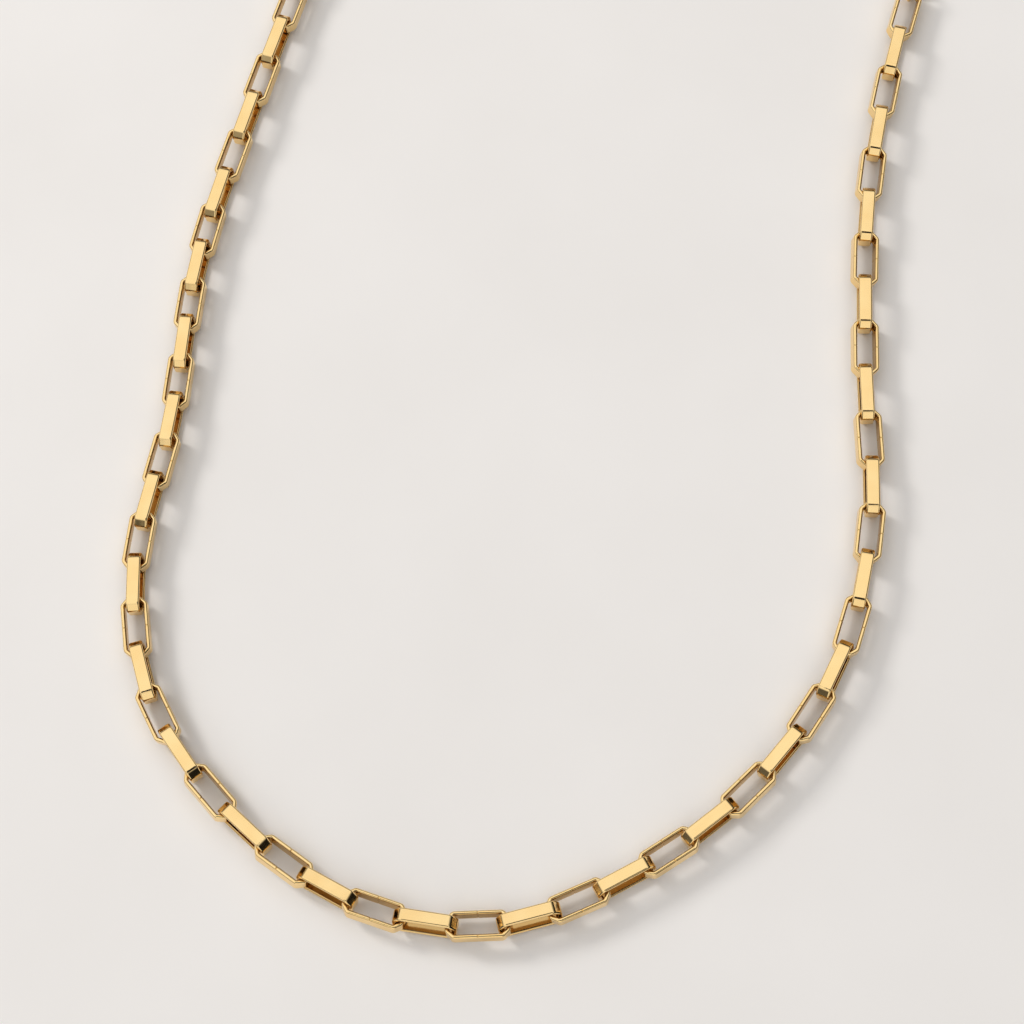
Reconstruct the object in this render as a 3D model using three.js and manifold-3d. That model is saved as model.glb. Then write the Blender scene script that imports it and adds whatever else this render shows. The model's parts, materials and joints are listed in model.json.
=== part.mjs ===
// Chain necklace: flat-band elongated box links, alternately lying flat and standing upright,
// laid out in a long U, with a lobster clasp on one end and a catch ring on the other.
// Millimetres, +Z up. The front of the U faces -Y and the open ends point to +Y.
// Origin: centre of the necklace's outline, on the surface that it lies on.
import * as THREE from 'three';
import { mergeVertices } from 'three/addons/utils/BufferGeometryUtils.js';
import Module from 'manifold-3d';

const wasm = await Module();
wasm.setup();

// ---- driving dimensions -------------------------------------------------------------------

// One link: a band bent into a long octagon, and all links are alike.
const LINK_LENGTH = 8.8;
const LINK_WIDTH = 3.8;
const BAND_WIDTH = 1.9;
const BAND_THICKNESS = 0.58;
const CORNER_CUT = 1.0;
const EDGE_BEVEL = 0.12;

// Distance between the centres of neighbouring links, in stretches counted outwards from the
// bottom link. A taut chain would measure 7.5, and the left strand lies a little slack.
const LEFT_STRETCHES = [
  { links: 7, pitch: 7.04 },
  { links: 4, pitch: 6.5 },
  { links: 4, pitch: 6.25 },
  { links: 6, pitch: 6.15 },
  { links: 7, pitch: 6.8 },
];
const RIGHT_STRETCHES = [
  { links: 12, pitch: 6.88 },
  { links: 12, pitch: 7.04 },
];

// The line that the chain follows on the table, from the clasp end to the catch-ring end.
const ROUTE = [
  [-21, 180], [-28, 155], [-37, 124], [-43.5, 98], [-46, 72], [-49.5, 50], [-46, 31],
  [-32, 13], [-14, 2.2], [3, 0.5], [19.5, 6.7], [36.5, 19], [48.5, 35.5], [54, 56],
  [54.3, 80], [56, 108], [62, 136], [71, 162],
];

// How far the links lean towards the inside of the U: [links from the bottom link, degrees].
// The flat links of the right strand roll outwards inside their upright neighbours.
const UPRIGHT_LEAN = [[-8, 0], [-4, 14], [0, 17], [4, 10], [9, 8], [12, 0]];
const FLAT_LEAN = [
  [-8, 2], [-6, 11], [-4, 15], [-2, 15], [0, 12], [2, 9], [5, 10], [8, 9],
  [12, -5], [16, -8], [24, -9],
];
// Each link's own small difference in lean, in degrees. The link that is UPRIGHT_LINK links
// from the bottom one has none, so it stands flat on its lower side.
const LEAN_SCATTER = 1.1;
const UPRIGHT_LINK = -15;

// Jump rings, and the larger ring that the clasp hooks into.
const JUMP_RING = { radius: 1.65, wire: 0.3 };
const CATCH_RING = { radius: 2.55, wire: 0.45 };
const BAR_TO_RING = 0.45;
// Height of the catch ring's wire where it passes through its jump ring.
const CATCH_LIFT = 1.25;

// Lobster clasp, lying on its side. Its tail eye's outer wall is at x = 0, its nose at x = 12.6.
const CLASP_THICKNESS = 3.0;
const CLASP_BEVEL = 0.45;
const EYE = { x: 1.1, outer: 1.4, inner: 0.8, thickness: 1.0 };
const HOOK = { x: 8.2, y: 0, length: 4.4, width: 3.1 };
const MOUTH = { x: 8.5, y: 0.05, length: 2.75, width: 1.75 };
const PIVOT = { x: 4.7, y: 1.0 };
const PIN = { radius: 0.4, length: 2.9, bodyHole: 0.45, leverHole: 0.5 };
const LEVER_THICKNESS = 1.2;
const SLOT = { start: 2.9, end: 6.8, floor: -0.95, thickness: 1.6 };
const SPRING = { thickness: 0.18, width: 1.0 };

const ROUND = 20;

// ---- materials ----------------------------------------------------------------------------

const GOLD = { color: 0xe3b565, roughness: 0.16, metalness: 1 };
const STEEL = { color: 0xb9bcc2, roughness: 0.3, metalness: 1 };

function piece(name, geometry, finish = GOLD) {
  const mesh = new THREE.Mesh(geometry, new THREE.MeshStandardMaterial(finish));
  mesh.name = name;
  return mesh;
}

// ---- solids -------------------------------------------------------------------------------

function toSolid(geometry) {
  const bare = geometry.clone();
  bare.deleteAttribute('normal');
  bare.deleteAttribute('uv');
  const merged = mergeVertices(bare, 1e-4);
  return new wasm.Manifold(new wasm.Mesh({
    numProp: 3,
    vertProperties: new Float32Array(merged.attributes.position.array),
    triVerts: new Uint32Array(merged.index.array),
  }));
}

function toGeometry(solid) {
  const { vertProperties, triVerts } = solid.getMesh();
  const geometry = new THREE.BufferGeometry();
  geometry.setAttribute('position', new THREE.BufferAttribute(vertProperties, 3));
  geometry.setIndex(new THREE.BufferAttribute(triVerts, 1));
  return geometry;
}

// An outline extruded along Z, centred on z = 0, with its edges bevelled within the thickness.
function slab(shape, thickness, bevel = 0, curveSegments = 10) {
  const geometry = new THREE.ExtrudeGeometry(shape, {
    depth: thickness - 2 * bevel,
    bevelEnabled: bevel > 0,
    bevelThickness: bevel,
    bevelSize: bevel,
    bevelOffset: -bevel,
    bevelSegments: 2,
    curveSegments,
  });
  geometry.translate(0, 0, -thickness / 2 + bevel);
  return geometry;
}

function disc(x, y, radius, thickness, sides = ROUND) {
  const geometry = new THREE.CylinderGeometry(radius, radius, thickness, sides);
  geometry.rotateX(Math.PI / 2);
  geometry.translate(x, y, 0);
  return geometry;
}

function ellipse({ x, y, length, width }) {
  const shape = new THREE.Shape();
  shape.absellipse(x, y, length, width, 0, 2 * Math.PI, false, 0);
  return shape;
}

// ---- link ---------------------------------------------------------------------------------

// The link's octagon, moved inwards by `inset`, as points in the link's own XY plane.
function octagon(inset) {
  const halfLength = LINK_LENGTH / 2 - inset;
  const halfWidth = LINK_WIDTH / 2 - inset;
  const cut = CORNER_CUT - inset * (2 - Math.SQRT2);
  return [
    [halfLength, cut - halfWidth], [halfLength, halfWidth - cut],
    [halfLength - cut, halfWidth], [cut - halfLength, halfWidth],
    [-halfLength, halfWidth - cut], [-halfLength, cut - halfWidth],
    [cut - halfLength, -halfWidth], [halfLength - cut, -halfWidth],
  ];
}

// The band's section as [inset, height] pairs, carried round the octagon with mitred corners.
// The link's length is along X, its width along Y and its band's width along Z.
function linkGeometry() {
  const top = BAND_WIDTH / 2;
  const inner = BAND_THICKNESS;
  const section = [
    [0, -top + EDGE_BEVEL], [0, top - EDGE_BEVEL], [EDGE_BEVEL, top], [inner - EDGE_BEVEL, top],
    [inner, top - EDGE_BEVEL], [inner, -top + EDGE_BEVEL],
    [inner - EDGE_BEVEL, -top], [EDGE_BEVEL, -top],
  ];
  const rings = section.map(([inset, height]) => octagon(inset).map(([x, y]) => [x, y, height]));
  const corners = rings[0].length;
  const indices = [];
  for (let row = 0; row < rings.length; row += 1) {
    const nextRow = (row + 1) % rings.length;
    for (let corner = 0; corner < corners; corner += 1) {
      const nextCorner = (corner + 1) % corners;
      const a = row * corners + corner;
      const b = row * corners + nextCorner;
      const c = nextRow * corners + nextCorner;
      const d = nextRow * corners + corner;
      indices.push(a, b, c, a, c, d);
    }
  }
  const geometry = new THREE.BufferGeometry();
  geometry.setAttribute('position', new THREE.Float32BufferAttribute(rings.flat(2), 3));
  geometry.setIndex(indices);
  return geometry;
}

// ---- layout -------------------------------------------------------------------------------

const route = new THREE.CatmullRomCurve3(
  ROUTE.map(([x, y]) => new THREE.Vector3(x, y, 0)), false, 'centripetal');
route.arcLengthDivisions = 2000;

// Where the route crosses x = 0 at the bottom of the U, as a length along it.
function bottomStation() {
  const steps = 2000;
  let lowest = 0;
  for (let step = 0; step <= steps; step += 1) {
    if (Math.abs(route.getPointAt(step / steps).x) < Math.abs(route.getPointAt(lowest).x)) {
      lowest = step / steps;
    }
  }
  return lowest * route.getLength();
}

function stretchPitches(stretches) {
  return stretches.flatMap(({ links, pitch }) => Array(links).fill(pitch));
}

// The lean of a link in radians, read between the entries of a lean table.
function leanAt(table, offset) {
  const scatter = LEAN_SCATTER * Math.sin(2.4 * (offset - UPRIGHT_LINK));
  const next = table.findIndex(([position]) => position >= offset);
  const [x1, y1] = table.at(next);
  const [x0, y0] = next > 0 ? table[next - 1] : [x1 - 1, y1];
  const share = Math.min((offset - x0) / (x1 - x0), 1);
  return THREE.MathUtils.degToRad(y0 + (y1 - y0) * share + scatter);
}

// One entry for each link: its offset from the bottom link, its centre, and its own axes.
// `along` runs towards the catch ring, `inward` to the inside of the U, `up` out of the table.
function placeLinks() {
  const left = stretchPitches(LEFT_STRETCHES);
  const right = stretchPitches(RIGHT_STRETCHES);
  const start = bottomStation();
  const places = [];
  for (let offset = -left.length; offset <= right.length; offset += 1) {
    const pitches = offset < 0 ? left.slice(0, -offset) : right.slice(0, offset);
    const travelled = Math.sign(offset) * pitches.reduce((sum, pitch) => sum + pitch, 0);
    const station = (start + travelled) / route.getLength();
    const along = route.getTangentAt(station);
    const uprightLean = leanAt(UPRIGHT_LEAN, offset);
    const lean = offset % 2 === 0 ? leanAt(FLAT_LEAN, offset) : uprightLean;
    const level = new THREE.Vector3(-along.y, along.x, 0);
    const up = new THREE.Vector3(0, 0, Math.cos(lean)).addScaledVector(level, Math.sin(lean));
    const inward = new THREE.Vector3().crossVectors(up, along);
    const centre = route.getPointAt(station);
    centre.z = LINK_WIDTH / 2 * Math.cos(uprightLean)
      + BAND_WIDTH / 2 * Math.abs(Math.sin(uprightLean));
    places.push({ offset, centre, along, inward, up });
  }
  return places;
}

// The bottom link lies flat, and so does every second link from it.
function linkMesh(place, index) {
  const flat = place.offset % 2 === 0;
  const number = String(index + 1).padStart(2, '0');
  const mesh = piece(`${flat ? 'flat' : 'upright'}_link_${number}`, linkGeometry());
  const across = flat ? place.inward : place.up;
  const normal = new THREE.Vector3().crossVectors(place.along, across);
  mesh.quaternion.setFromRotationMatrix(
    new THREE.Matrix4().makeBasis(place.along, across, normal));
  mesh.position.copy(place.centre);
  return mesh;
}

// ---- rings --------------------------------------------------------------------------------

function ringGeometry({ radius, wire }) {
  return new THREE.TorusGeometry(radius, wire, 8, ROUND);
}

// ---- lobster clasp ------------------------------------------------------------------------

// The outer outline: a tapered housing behind an oval hook.
function claspOutline() {
  const shape = new THREE.Shape();
  shape.moveTo(2.3, -1.5);
  shape.quadraticCurveTo(4.6, -2.2, 5.6, HOOK.y - HOOK.width * 0.84);
  shape.quadraticCurveTo(6.7, -HOOK.width, HOOK.x, -HOOK.width);
  shape.absellipse(HOOK.x, HOOK.y, HOOK.length, HOOK.width, -Math.PI / 2, Math.PI / 2, false, 0);
  shape.quadraticCurveTo(6.7, HOOK.width, 5.6, HOOK.y + HOOK.width * 0.84);
  shape.quadraticCurveTo(4.6, 2.2, 2.3, 1.5);
  shape.quadraticCurveTo(1.7, 0, 2.3, -1.5);
  return shape;
}

function claspBodyGeometry() {
  const outline = claspOutline();
  const depth = CLASP_THICKNESS;
  const housing = toSolid(slab(outline, depth, CLASP_BEVEL, 8));
  const mouth = toSolid(slab(ellipse(MOUTH), depth + 1, 0, 14));

  // The space that the lever closes, between the housing and the tip of the fixed hook.
  const gate = new THREE.BoxGeometry(4.3, 4, depth + 1);
  gate.translate(8.15, 3.05, 0);

  const slotLength = SLOT.end - SLOT.start;
  const slot = new THREE.BoxGeometry(slotLength, 6, SLOT.thickness);
  slot.translate(SLOT.start + slotLength / 2, SLOT.floor + 3, 0);
  const pinHole = toSolid(disc(PIVOT.x, PIVOT.y, PIN.bodyHole, depth + 1));

  const eye = toSolid(disc(EYE.x, 0, EYE.outer, EYE.thickness));
  const eyeHole = toSolid(disc(EYE.x, 0, EYE.inner, depth + 1));
  const solid = housing.add(eye).subtract(eyeHole).subtract(mouth)
    .subtract(toSolid(gate)).subtract(toSolid(slot)).subtract(pinHole);
  return toGeometry(solid);
}

// The lever: a hub round the pin, a thumb tab, and an arm that reaches the tip of the hook.
function claspLeverGeometry() {
  const shape = new THREE.Shape();
  shape.moveTo(PIVOT.x - 1.05, PIVOT.y);
  shape.absarc(PIVOT.x, PIVOT.y, 1.05, Math.PI, 1.65 * Math.PI, false);
  shape.quadraticCurveTo(6.4, 1.5, 8.4, 1.8);
  shape.lineTo(10.05, 1.5);
  shape.quadraticCurveTo(10.2, 2.1, 9.9, 2.65);
  shape.quadraticCurveTo(8.2, 3.3, 6.6, 3.0);
  shape.quadraticCurveTo(6.2, 3.2, 5.9, 3.9);
  shape.quadraticCurveTo(5.4, 4.4, 4.9, 3.9);
  shape.quadraticCurveTo(4.6, 2.9, PIVOT.x - 0.6, 2.1);
  shape.quadraticCurveTo(PIVOT.x - 1.05, 1.7, PIVOT.x - 1.05, PIVOT.y);
  const arm = toSolid(slab(shape, LEVER_THICKNESS, 0.15, 6));
  const hole = toSolid(disc(PIVOT.x, PIVOT.y, PIN.leverHole, LEVER_THICKNESS + 1));
  return toGeometry(arm.subtract(hole));
}

// A leaf spring, bent up behind the lever's hub and lying along the floor of the slot.
function claspSpringGeometry() {
  const { thickness, width } = SPRING;
  const [back, front] = [SLOT.start + 0.15, SLOT.end - 0.4];
  const low = SLOT.floor + 0.12;
  const shape = new THREE.Shape();
  shape.moveTo(back, low + 1.6);
  shape.lineTo(back, low);
  shape.lineTo(front, low);
  shape.lineTo(front, low + thickness);
  shape.lineTo(back + thickness, low + thickness);
  shape.lineTo(back + thickness, low + 1.6);
  return slab(shape, width);
}

// ---- assembly -----------------------------------------------------------------------------

const necklace = new THREE.Group();
necklace.name = 'necklace';

const places = placeLinks();
places.forEach((place, index) => necklace.add(linkMesh(place, index)));

// A group at an end of the chain. Its +X points away from the chain along the last link, and
// its origin is the middle of the last link's end bar.
function endGroup(place, outward) {
  const group = new THREE.Group();
  const direction = place.along.clone().multiplyScalar(outward);
  group.position.copy(place.centre)
    .addScaledVector(direction, LINK_LENGTH / 2 - BAND_THICKNESS / 2);
  group.position.z = 0;
  group.rotation.z = Math.atan2(direction.y, direction.x);
  necklace.add(group);
  return group;
}

// A jump ring stands upright round the end bar, with its foot on the table.
function standingRing(name) {
  const ring = piece(name, ringGeometry(JUMP_RING));
  ring.rotation.x = Math.PI / 2;
  ring.position.set(BAR_TO_RING, 0, JUMP_RING.radius + JUMP_RING.wire);
  return ring;
}

const claspEnd = endGroup(places[0], -1);
claspEnd.add(standingRing('clasp_jump_ring'));

const clasp = new THREE.Group();
clasp.position.set(2 * BAR_TO_RING, 0, CLASP_THICKNESS / 2);
clasp.add(piece('clasp_body', claspBodyGeometry()));
clasp.add(piece('clasp_lever', claspLeverGeometry()));
clasp.add(piece('clasp_pin', disc(PIVOT.x, PIVOT.y, PIN.radius, PIN.length)));
clasp.add(piece('clasp_spring', claspSpringGeometry(), STEEL));
claspEnd.add(clasp);

const ringEnd = endGroup(places[places.length - 1], 1);
ringEnd.add(standingRing('end_jump_ring'));

// The catch ring hangs in its jump ring, and its far side rests on the table.
const catchTilt = Math.asin((CATCH_LIFT - CATCH_RING.wire) / (2 * CATCH_RING.radius));
const catchRing = piece('catch_ring', ringGeometry(CATCH_RING));
catchRing.rotation.y = catchTilt;
catchRing.position.set(
  2 * BAR_TO_RING + CATCH_RING.radius * Math.cos(catchTilt), 0,
  CATCH_LIFT - CATCH_RING.radius * Math.sin(catchTilt));
ringEnd.add(catchRing);

// Put the origin under the middle of the necklace's outline.
necklace.updateMatrixWorld(true);
const outline = new THREE.Box3().setFromObject(necklace, true);
const middle = outline.getCenter(new THREE.Vector3());
necklace.position.set(-middle.x, -middle.y, 0);
necklace.updateMatrixWorld(true);

export default necklace;
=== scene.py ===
"""Looks for the chain necklace: polished gold links, rings and lobster clasp on a pale floor."""

import json
import math

import bmesh
import bpy
import numpy as np
from mathutils import Matrix, Vector


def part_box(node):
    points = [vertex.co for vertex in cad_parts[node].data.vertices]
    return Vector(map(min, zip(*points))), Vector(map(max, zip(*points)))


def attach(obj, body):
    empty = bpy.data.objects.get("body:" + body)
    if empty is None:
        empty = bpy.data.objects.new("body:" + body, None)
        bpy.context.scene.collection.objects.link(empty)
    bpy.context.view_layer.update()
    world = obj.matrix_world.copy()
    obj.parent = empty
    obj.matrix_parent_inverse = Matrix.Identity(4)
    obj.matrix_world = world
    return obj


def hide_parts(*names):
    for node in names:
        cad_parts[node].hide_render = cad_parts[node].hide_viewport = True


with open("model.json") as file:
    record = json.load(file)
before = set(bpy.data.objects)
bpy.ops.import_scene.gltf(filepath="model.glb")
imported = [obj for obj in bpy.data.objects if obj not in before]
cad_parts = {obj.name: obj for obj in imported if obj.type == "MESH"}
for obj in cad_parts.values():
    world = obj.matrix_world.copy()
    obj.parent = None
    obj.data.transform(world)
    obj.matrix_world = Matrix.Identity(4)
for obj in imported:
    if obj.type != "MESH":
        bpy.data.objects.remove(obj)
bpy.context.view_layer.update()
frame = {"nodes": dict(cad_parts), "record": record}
MM = 0.001
NODES = frame["nodes"]
BODY_OF = {node: body
           for body, members in frame["record"]["behaviour"]["bodies"].items()
           for node in members}


# ---- link dimensions, in millimetres ----------------------------------------------------

LINK_LENGTH = 8.8
LINK_WIDTH = 3.8
BAND_WIDTH = 1.9
BAND_THICKNESS = 0.58
CORNER_CUT = 1.0
OUTER_BEND = 0.8
INNER_BEND = 0.2
EDGE_RADIUS = 0.27
CROWN = 0.006
BEND_STEPS = 6
EDGE_STEPS = 5
SEAM_DEPTH = 0.07
SEAM_HALF_WIDTH = 0.05
# Where the stations beside a seam lie, in seam half widths, and how deep it is cut on the faces.
SEAM_STATIONS = (0.35, 0.7, 1.0, 1.4, 2.0, 3.0)
SEAM_SHARE_ON_FACE = 0.4
RIVET_ROUNDING = 0.12


# ---- small helpers -----------------------------------------------------------------------

def principal_frame(node):
    """Centre and own axes of a CAD node, longest spread first, from its vertices at rest."""
    points = np.array([v.co for v in NODES[node].data.vertices], float)
    centre = points.mean(0)
    axes = np.linalg.eigh(np.cov((points - centre).T))[1]
    long_axis, middle_axis = Vector(axes[:, 2]), Vector(axes[:, 1])
    if long_axis.y + 0.3 * long_axis.x < 0:
        long_axis.negate()
    if middle_axis.z < -1e-4 or (abs(middle_axis.z) <= 0.35 and middle_axis.x < 0):
        middle_axis.negate()
    short_axis = long_axis.cross(middle_axis)
    return Vector(centre), long_axis, middle_axis, short_axis


def placement(centre, x_axis, y_axis, z_axis):
    matrix = Matrix((x_axis, y_axis, z_axis)).transposed().to_4x4()
    matrix.translation = centre
    return matrix


def mesh_object(name, points, faces, normals, matrix, materials, inside=None):
    """A mesh with its place in its vertices, smooth shading from the exact normals where they
    are given, and how far each vertex belongs to the inside of a band, from 0 to 1."""
    mesh = bpy.data.meshes.new(name)
    mesh.from_pydata([tuple(p) for p in points], [], faces)
    mesh.transform(matrix)
    mesh.polygons.foreach_set("use_smooth", [True] * len(mesh.polygons))
    if normals is not None:
        turn = np.array(matrix.to_3x3(), float)
        turned = np.asarray(normals) @ turn.T
        mesh.normals_split_custom_set_from_vertices([tuple(n) for n in turned])
    for material in materials:
        mesh.materials.append(material)
    mesh.update()
    if inside is not None:
        mesh.attributes.new("inside", "FLOAT", "POINT").data.foreach_set("value", inside)
    piece = bpy.data.objects.new(name, mesh)
    bpy.context.scene.collection.objects.link(piece)
    return piece


# ---- link mesh -----------------------------------------------------------------------------

def octagon(inset):
    """Corners of the link's octagon, moved inwards by inset, counter-clockwise from +X."""
    half_length = LINK_LENGTH / 2 - inset
    half_width = LINK_WIDTH / 2 - inset
    cut = CORNER_CUT - inset * (2 - math.sqrt(2))
    return [(half_length, half_width - cut), (half_length - cut, half_width),
            (cut - half_length, half_width), (-half_length, half_width - cut),
            (-half_length, cut - half_width), (cut - half_length, -half_width),
            (half_length - cut, -half_width), (half_length, cut - half_width)]


def rounded_corner(corner, start_angle, radius, steps):
    """Points on a 45 degree fillet, whose outward normals start at start_angle."""
    middle = start_angle + math.pi / 8
    reach = radius / math.cos(math.pi / 8)
    centre = np.array(corner) - reach * np.array([math.cos(middle), math.sin(middle)])
    angles = [start_angle + math.pi / 4 * k / steps for k in range(steps + 1)]
    return [(centre + radius * np.array([math.cos(a), math.sin(a)]), a) for a in angles]


def link_stations(seamed):
    """Stations round the link: outer point, inner point, outward angle and seam distance."""
    outer, inner = octagon(0), octagon(BAND_THICKNESS)
    stations = []
    for k in range(8):
        start = k * math.pi / 4
        outer_arc = rounded_corner(outer[k], start, OUTER_BEND, BEND_STEPS)
        inner_arc = rounded_corner(inner[k], start, INNER_BEND, BEND_STEPS)
        for (o, a), (i, _) in zip(outer_arc, inner_arc):
            stations.append((o, i, a, None))
        side_angle = start + math.pi / 4
        if k in (1, 5):
            distances = [0.0]
            if seamed:
                reach = [SEAM_HALF_WIDTH * s for s in SEAM_STATIONS]
                distances = [-d for d in reversed(reach)] + [0.0] + reach
            direction = 1 if k == 1 else -1
            for d in distances:
                x = -direction * d
                y = direction
                stations.append((np.array([x, y * LINK_WIDTH / 2]),
                                 np.array([x, y * (LINK_WIDTH / 2 - BAND_THICKNESS)]),
                                 side_angle, d if seamed else None))
    return stations


def band_profile():
    """Section of the band, as rows of depth from the outer face, height, and the two parts of
    the normal, across the band's thickness and upwards. It runs once round: outer face, upper
    rim, inner face, lower rim."""
    top = BAND_WIDTH / 2
    e = EDGE_RADIUS
    flat = top - e
    slope = 2 * CROWN / flat
    rows = []

    def arc(depth, height, first):
        for k in range(EDGE_STEPS + 1):
            a = first + math.pi / 2 * k / EDGE_STEPS
            rows.append((depth - e * math.cos(a), height + e * math.sin(a),
                         math.cos(a), math.sin(a)))

    def face(depth, side):
        for t in (-0.5, 0.0, 0.5) if side > 0 else (0.5, 0.0, -0.5):
            rise = CROWN * (1 - t * t)
            rows.append((depth - side * rise, t * flat, side, slope * t))

    face(0.0, 1)
    arc(e, flat, 0.0)
    arc(BAND_THICKNESS - e, flat, math.pi / 2)
    face(BAND_THICKNESS, -1)
    arc(BAND_THICKNESS - e, -flat, math.pi)
    arc(e, -flat, 1.5 * math.pi)
    return rows


def link_geometry(seamed):
    """Points, faces, normals and inside shares of one link, with its length along its own X."""
    stations, profile = link_stations(seamed), band_profile()
    points, normals, inside = [], [], []
    for o, i, angle, seam in stations:
        outward = np.array([math.cos(angle), math.sin(angle)])
        inward_step = (i - o) / BAND_THICKNESS
        groove, groove_slope = 0.0, 0.0
        if seam is not None:
            ratio = seam / SEAM_HALF_WIDTH
            groove = SEAM_DEPTH * math.exp(-ratio * ratio)
            groove_slope = -2 * ratio / SEAM_HALF_WIDTH * groove
        tangent = np.array([-outward[1], outward[0]])
        for depth, height, across, upward in profile:
            flat_normal = np.array([*(outward * across), upward])
            flat_normal /= np.linalg.norm(flat_normal)
            spot = np.array([*(o + inward_step * depth), height])
            if seam is not None:
                share = SEAM_SHARE_ON_FACE if across > 0.9 else 1.0
                spot = spot - flat_normal * groove * share
                flat_normal = flat_normal + np.array([*tangent, 0.0]) * groove_slope * share
                flat_normal /= np.linalg.norm(flat_normal)
            points.append(spot)
            normals.append(flat_normal)
            inside.append(max(0.0, -across))
    rows, count = len(profile), len(stations)
    faces = []
    for s in range(count):
        n = (s + 1) % count
        for r in range(rows):
            q = (r + 1) % rows
            faces.append((s * rows + r, n * rows + r, n * rows + q, s * rows + q))
    return np.array(points) * MM, faces, np.array(normals), inside


# ---- materials -----------------------------------------------------------------------------

def new_material(name):
    material = bpy.data.materials.new(name)
    material.use_nodes = True
    tree = material.node_tree
    tree.nodes.clear()
    output = tree.nodes.new("ShaderNodeOutputMaterial")
    shader = tree.nodes.new("ShaderNodeBsdfPrincipled")
    tree.links.new(shader.outputs["BSDF"], output.inputs["Surface"])
    return material, tree, shader


def noise(tree, scale, detail, stretch=(1, 1, 1)):
    """A noise texture on the piece's own coordinates; scale is in features per metre."""
    coordinates = tree.nodes.new("ShaderNodeTexCoord")
    mapping = tree.nodes.new("ShaderNodeMapping")
    mapping.inputs["Scale"].default_value = stretch
    texture = tree.nodes.new("ShaderNodeTexNoise")
    texture.inputs["Scale"].default_value = scale
    texture.inputs["Detail"].default_value = detail
    tree.links.new(coordinates.outputs["Object"], mapping.inputs["Vector"])
    tree.links.new(mapping.outputs["Vector"], texture.inputs["Vector"])
    return texture


def ranged(tree, value, low, high, out_low, out_high):
    node = tree.nodes.new("ShaderNodeMapRange")
    for key, number in (("From Min", low), ("From Max", high),
                        ("To Min", out_low), ("To Max", out_high)):
        node.inputs[key].default_value = number
    tree.links.new(value, node.inputs["Value"])
    return node.outputs["Result"]


def colour_ramp(tree, value, stops):
    node = tree.nodes.new("ShaderNodeValToRGB")
    elements = node.color_ramp.elements
    while len(elements) < len(stops):
        elements.new(0.5)
    for element, (position, colour) in zip(elements, stops):
        element.position = position
        element.color = (*colour, 1)
    tree.links.new(value, node.inputs["Fac"])
    return node.outputs["Color"]


def bump(tree, height, distance, previous=None):
    node = tree.nodes.new("ShaderNodeBump")
    node.inputs["Strength"].default_value = 1.0
    node.inputs["Distance"].default_value = distance
    tree.links.new(height, node.inputs["Height"])
    if previous is not None:
        tree.links.new(previous, node.inputs["Normal"])
    return node.outputs["Normal"]


# Painted shade on the inside of the band, where slots and crossings fall dark: it takes this
# much off the colour of the gold.
INSIDE_PAINTED_SHADE = (0.66, 0.60, 0.52)


def gold_material():
    """Polished gold with painted shade on the inside of the band; a mesh without the inside
    attribute has no painted shade.
    """
    material, tree, shader = new_material("polished_gold")
    shader.inputs["Metallic"].default_value = 1.0
    tone = noise(tree, 260, 2)
    colour = colour_ramp(tree, tone.outputs["Fac"],
                         [(0.3, (0.955, 0.700, 0.345)), (0.7, (0.985, 0.755, 0.400))])
    # Painted shade: the inside attribute multiplies the colour of the gold darker on the inside
    # of the band.
    inside = tree.nodes.new("ShaderNodeAttribute")
    inside.attribute_name = "inside"
    inside_painted_shade = tree.nodes.new("ShaderNodeMix")
    inside_painted_shade.data_type = "RGBA"
    inside_painted_shade.blend_type = "MULTIPLY"
    inside_painted_shade.inputs["B"].default_value = (*INSIDE_PAINTED_SHADE, 1)
    tree.links.new(ranged(tree, inside.outputs["Fac"], 0.3, 0.9, 0.0, 1.0),
                   inside_painted_shade.inputs["Factor"])
    tree.links.new(colour, inside_painted_shade.inputs["A"])
    tree.links.new(inside_painted_shade.outputs["Result"], shader.inputs["Base Color"])
    cloud = noise(tree, 900, 3)
    roughness = ranged(tree, cloud.outputs["Fac"], 0.3, 0.7, 0.075, 0.135)
    tree.links.new(roughness, shader.inputs["Roughness"])
    wave = noise(tree, 230, 1)
    hairlines = noise(tree, 9000, 2, (1, 0.12, 1))
    normal = bump(tree, wave.outputs["Fac"], 1.1e-5)
    normal = bump(tree, hairlines.outputs["Fac"], 4e-7, normal)
    tree.links.new(normal, shader.inputs["Normal"])
    return material


def steel_material():
    material, tree, shader = new_material("bright_spring_steel")
    shader.inputs["Metallic"].default_value = 1.0
    grain = noise(tree, 6000, 3, (1, 0.1, 1))
    colour = colour_ramp(tree, grain.outputs["Fac"],
                         [(0.3, (0.52, 0.53, 0.55)), (0.7, (0.62, 0.63, 0.65))])
    tree.links.new(colour, shader.inputs["Base Color"])
    roughness = ranged(tree, grain.outputs["Fac"], 0.3, 0.7, 0.22, 0.36)
    tree.links.new(roughness, shader.inputs["Roughness"])
    tree.links.new(bump(tree, grain.outputs["Fac"], 2e-6), shader.inputs["Normal"])
    return material


def floor_material():
    material, tree, shader = new_material("pale_plaster")
    cloud = noise(tree, 30, 3)
    colour = colour_ramp(tree, cloud.outputs["Fac"],
                         [(0.3, (0.870, 0.846, 0.824)), (0.7, (0.893, 0.870, 0.850))])
    tree.links.new(colour, shader.inputs["Base Color"])
    shader.inputs["Roughness"].default_value = 0.9
    shader.inputs["Specular IOR Level"].default_value = 0.2
    return material


GOLD = gold_material()
STEEL = steel_material()


# ---- links ---------------------------------------------------------------------------------

GEOMETRY = {"flat": link_geometry(True), "upright": link_geometry(False)}
link_nodes = sorted((n for n in NODES if "_link_" in n), key=lambda n: n[-2:])
for node in link_nodes:
    kind = node.split("_")[0]
    points, faces, normals, inside = GEOMETRY[kind]
    matrix = placement(*principal_frame(node))
    piece = mesh_object(f"gold_{node}", points, faces, normals, matrix, [GOLD], inside)
    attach(piece, BODY_OF[node])
    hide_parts(node)


# ---- rings ---------------------------------------------------------------------------------

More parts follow.
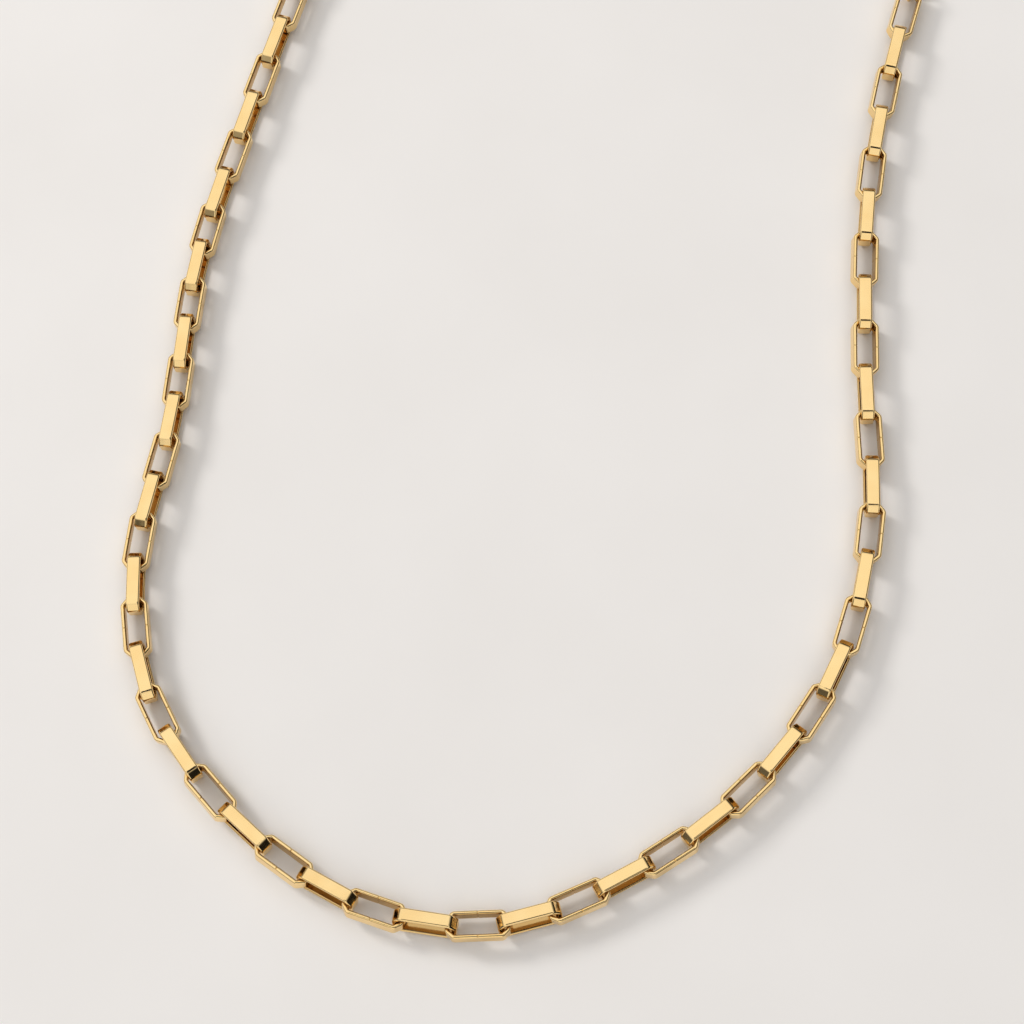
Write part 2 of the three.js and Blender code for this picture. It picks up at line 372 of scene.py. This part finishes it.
def ring_geometry(radius, wire, around=128, section=28):
    """A round ring in its own XY plane."""
    points, faces, normals = [], [], []
    for s in range(around):
        a = 2 * math.pi * s / around
        outward = np.array([math.cos(a), math.sin(a), 0.0])
        for r in range(section):
            b = 2 * math.pi * r / section
            normal = outward * math.cos(b) + np.array([0.0, 0.0, math.sin(b)])
            points.append(outward * radius + normal * wire)
            normals.append(normal)
    for s in range(around):
        n = (s + 1) % around
        for r in range(section):
            q = (r + 1) % section
            faces.append((s * section + r, n * section + r, n * section + q, s * section + q))
    return points, faces, normals


for node in ("clasp_jump_ring", "end_jump_ring", "catch_ring"):
    centre, x_axis, y_axis, z_axis = principal_frame(node)
    offsets = np.array([v.co for v in NODES[node].data.vertices], float) - np.array(centre)
    wire = np.abs(offsets @ np.array(z_axis)).max()
    reach = np.hypot(offsets @ np.array(x_axis), offsets @ np.array(y_axis)).max()
    points, faces, normals = ring_geometry(reach - wire, wire)
    matrix = placement(centre, x_axis, y_axis, z_axis)
    piece = mesh_object(f"round_{node}", points, faces, normals, matrix, [GOLD])
    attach(piece, BODY_OF[node])
    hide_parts(node)


# ---- clasp ---------------------------------------------------------------------------------

# Voxel size in millimetres and rounds of smoothing for each cast piece.
CAST_PIECES = {"clasp_body": (0.08, 7), "clasp_lever": (0.06, 6), "clasp_spring": (0.045, 2)}
WELD_DISTANCE = 0.002


def clasp_frame():
    """The clasp lies flat: its length follows the end link, and its thickness is vertical."""
    low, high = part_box("clasp_body")
    along = principal_frame("flat_link_01")[1]
    along = Vector((along.x, along.y, 0)).normalized()
    return placement((low + high) / 2, along, Vector((0, 0, 1)).cross(along), Vector((0, 0, 1)))


def cast_piece(node, material):
    """A CAD node with its sharp edges rounded over, as tumbling and polishing leave them."""
    voxel, smoothing = CAST_PIECES[node]
    place = clasp_frame()
    shape = bmesh.new()
    shape.from_mesh(NODES[node].data)
    bmesh.ops.remove_doubles(shape, verts=shape.verts, dist=WELD_DISTANCE * MM)
    shape.transform(Matrix.Scale(1 / MM, 4) @ place.inverted())
    mesh = bpy.data.meshes.new(f"cast_{node}")
    shape.to_mesh(mesh)
    shape.free()
    rough = bpy.data.objects.new("rough_cast", mesh)
    bpy.context.scene.collection.objects.link(rough)
    remesh = rough.modifiers.new("remesh", "REMESH")
    remesh.mode = "VOXEL"
    remesh.voxel_size = voxel
    smooth = rough.modifiers.new("smooth", "SMOOTH")
    smooth.factor = 0.5
    smooth.iterations = smoothing
    evaluated = rough.evaluated_get(bpy.context.evaluated_depsgraph_get())
    cast = bpy.data.meshes.new_from_object(evaluated)
    bpy.data.objects.remove(rough)
    cast.name = f"cast_{node}"
    cast.transform(place @ Matrix.Scale(MM, 4))
    cast.materials.clear()
    cast.materials.append(material)
    cast.polygons.foreach_set("use_smooth", [True] * len(cast.polygons))
    piece = bpy.data.objects.new(f"cast_{node}", cast)
    bpy.context.scene.collection.objects.link(piece)
    return piece


def rivet_geometry(length, radius, rounding, around=48, steps=6):
    """A pin with rounded-over ends, along its own X."""
    outline = []
    for k in range(steps + 1):
        a = math.pi / 2 * k / steps
        outline.append((-length / 2 + rounding * (1 - math.sin(a)),
                        radius - rounding * (1 - math.cos(a))))
    outline.sort()
    outline += [(-x, r) for x, r in reversed(outline)]
    points = [(x, r * math.cos(2 * math.pi * s / around), r * math.sin(2 * math.pi * s / around))
              for s in range(around) for x, r in outline]
    rows = len(outline)
    points += [(-length / 2, 0, 0), (length / 2, 0, 0)]
    first, last = len(points) - 2, len(points) - 1
    faces = []
    for s in range(around):
        n = (s + 1) % around
        faces.append((first, n * rows, s * rows))
        faces.append((last, s * rows + rows - 1, n * rows + rows - 1))
        for r in range(rows - 1):
            faces.append((s * rows + r, n * rows + r, n * rows + r + 1, s * rows + r + 1))
    return points, faces


for node in CAST_PIECES:
    steel = node == "clasp_spring"
    piece = cast_piece(node, STEEL if steel else GOLD)
    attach(piece, BODY_OF[node])
    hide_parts(node)

pin_centre, pin_x, pin_y, pin_z = principal_frame("clasp_pin")
pin_points = np.array([v.co for v in NODES["clasp_pin"].data.vertices], float)
pin_reach = np.abs((pin_points - np.array(pin_centre)) @ np.array(pin_x)).max()
pin_radius = np.abs((pin_points - np.array(pin_centre)) @ np.array(pin_y)).max()
points, faces = rivet_geometry(2 * pin_reach, pin_radius, RIVET_ROUNDING * MM)
piece = mesh_object("rivet_clasp_pin", points, faces, None,
                    placement(pin_centre, pin_x, pin_y, pin_z), [GOLD])
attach(piece, BODY_OF["clasp_pin"])
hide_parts("clasp_pin")


# ---- floor, light and camera -----------------------------------------------------------------

FLOOR_HALF = 12.0
FLOOR_DROP = 0.02

floor_mesh = bpy.data.meshes.new("floor")
floor_mesh.from_pydata([(-FLOOR_HALF, -FLOOR_HALF, 0), (FLOOR_HALF, -FLOOR_HALF, 0),
                        (FLOOR_HALF, FLOOR_HALF, 0), (-FLOOR_HALF, FLOOR_HALF, 0)],
                       [], [(0, 1, 2, 3)])
floor_mesh.materials.append(floor_material())
floor = bpy.data.objects.new("floor", floor_mesh)
bpy.context.scene.collection.objects.link(floor)
floor.location.z = -FLOOR_DROP * MM


# How bright the dome is by the height of a direction, and the front panel by its nearness.
DOME_AXIS = (-0.30, 0.10, 1.0)
DOME = [(0.0, (0.020, 0.019, 0.018)), (0.26, (0.040, 0.038, 0.036)),
        (0.52, (0.40, 0.395, 0.39)), (0.72, (0.93, 0.925, 0.92)), (1.0, (1.0, 0.995, 0.99))]
PANEL_AXIS = (0.0, -0.93, 0.37)
PANEL = [(0.86, (0.0, 0.0, 0.0)), (0.93, (0.85, 0.84, 0.82)), (1.0, (0.95, 0.94, 0.92))]
DOME_STRENGTH = 1.0


def studio_world():
    """Dome of soft light, bright overhead and towards the back left, and a bright panel low in
    front. It is dark close to the horizon and on the right."""
    world = bpy.data.worlds.new("studio")
    world.use_nodes = True
    tree = world.node_tree
    tree.nodes.clear()
    output = tree.nodes.new("ShaderNodeOutputWorld")
    background = tree.nodes.new("ShaderNodeBackground")
    coordinates = tree.nodes.new("ShaderNodeTexCoord")

    def along(direction):
        node = tree.nodes.new("ShaderNodeVectorMath")
        node.operation = "DOT_PRODUCT"
        node.inputs[1].default_value = direction
        tree.links.new(coordinates.outputs["Generated"], node.inputs[0])
        return node.outputs["Value"]

    dome = colour_ramp(tree, along(DOME_AXIS), DOME)
    panel = colour_ramp(tree, along(PANEL_AXIS), PANEL)
    brighter = tree.nodes.new("ShaderNodeMix")
    brighter.data_type = "RGBA"
    brighter.blend_type = "LIGHTEN"
    brighter.inputs["Factor"].default_value = 1.0
    tree.links.new(dome, brighter.inputs["A"])
    tree.links.new(panel, brighter.inputs["B"])
    tree.links.new(brighter.outputs["Result"], background.inputs["Color"])
    background.inputs["Strength"].default_value = DOME_STRENGTH
    tree.links.new(background.outputs["Background"], output.inputs["Surface"])
    bpy.context.scene.world = world


def area_light(name, azimuth, elevation, distance, size, watts, colour=(1, 1, 1)):
    """A square softbox that faces the middle of the necklace. It casts the shadows, and the
    polished pieces do not mirror it."""
    light = bpy.data.lights.new(name, "AREA")
    light.shape = "SQUARE"
    light.size = size
    light.energy = watts
    light.color = colour
    lamp = bpy.data.objects.new(name, light)
    bpy.context.scene.collection.objects.link(lamp)
    a, e = math.radians(azimuth), math.radians(elevation)
    toward = Vector((math.cos(e) * math.cos(a), math.cos(e) * math.sin(a), math.sin(e)))
    lamp.location = toward * distance
    lamp.rotation_euler = toward.to_track_quat("Z", "Y").to_euler()
    lamp.visible_camera = False
    lamp.visible_glossy = False
    return lamp


studio_world()
area_light("key_softbox", azimuth=149, elevation=32, distance=1.4, size=0.30, watts=7.0,
           colour=(1.0, 0.985, 0.96))

# Places in millimetres from the bottom link's centre, the roll in degrees and the lens in mm.
CAMERA_FROM_BOTTOM_LINK = Vector((16.9, -31.9, 268.5)) * MM
AIM_FROM_BOTTOM_LINK = Vector((3.6, 58.6, -2.1)) * MM
CAMERA_ROLL = 0.83
LENS = 70.3
bottom_low, bottom_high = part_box("flat_link_29")
bottom_link = (bottom_low + bottom_high) / 2

camera_data = bpy.data.cameras.new("camera")
camera_data.lens = LENS
camera_data.sensor_width = 36
camera_data.clip_start = 0.01
camera_data.clip_end = 60
camera = bpy.data.objects.new("camera", camera_data)
bpy.context.scene.collection.objects.link(camera)
back = (CAMERA_FROM_BOTTOM_LINK - AIM_FROM_BOTTOM_LINK).normalized()
right = Vector((0, 1, 0)).cross(back).normalized()
up = back.cross(right)
view = placement(bottom_link + CAMERA_FROM_BOTTOM_LINK, right, up, back)
camera.matrix_world = view @ Matrix.Rotation(math.radians(CAMERA_ROLL), 4, "Z")
bpy.context.scene.camera = camera


CARD_RADIUS = 100
CARD_BEHIND = 5


def camera_card():
    """The dark body of the camera, which the polished links mirror. Only reflections show it."""
    mesh = bpy.data.meshes.new("camera_card")
    shape = bmesh.new()
    bmesh.ops.create_circle(shape, cap_ends=True, segments=48, radius=CARD_RADIUS * MM)
    shape.to_mesh(mesh)
    shape.free()
    material, tree, shader = new_material("dark_card")
    shade = noise(tree, 40, 2)
    tree.links.new(colour_ramp(tree, shade.outputs["Fac"], [(0.3, (0.010, 0.009, 0.008)),
                                                          (0.7, (0.016, 0.015, 0.013))]),
                   shader.inputs["Base Color"])
    shader.inputs["Roughness"].default_value = 0.8
    mesh.materials.append(material)
    card = bpy.data.objects.new("camera_card", mesh)
    bpy.context.scene.collection.objects.link(card)
    card.matrix_world = camera.matrix_world @ Matrix.Translation((0, 0, CARD_BEHIND * MM))
    card.visible_camera = False
    card.visible_shadow = False
    card.visible_diffuse = False


camera_card()

# A gamma under 1 deepens the dark parts of the gold, and the exposure brings the floor back up.
VIEW_GAMMA = 0.86
VIEW_EXPOSURE = 0.07
scene = bpy.context.scene
scene.view_settings.view_transform = "Standard"
scene.view_settings.look = "None"
scene.view_settings.gamma = VIEW_GAMMA
scene.view_settings.exposure = VIEW_EXPOSURE
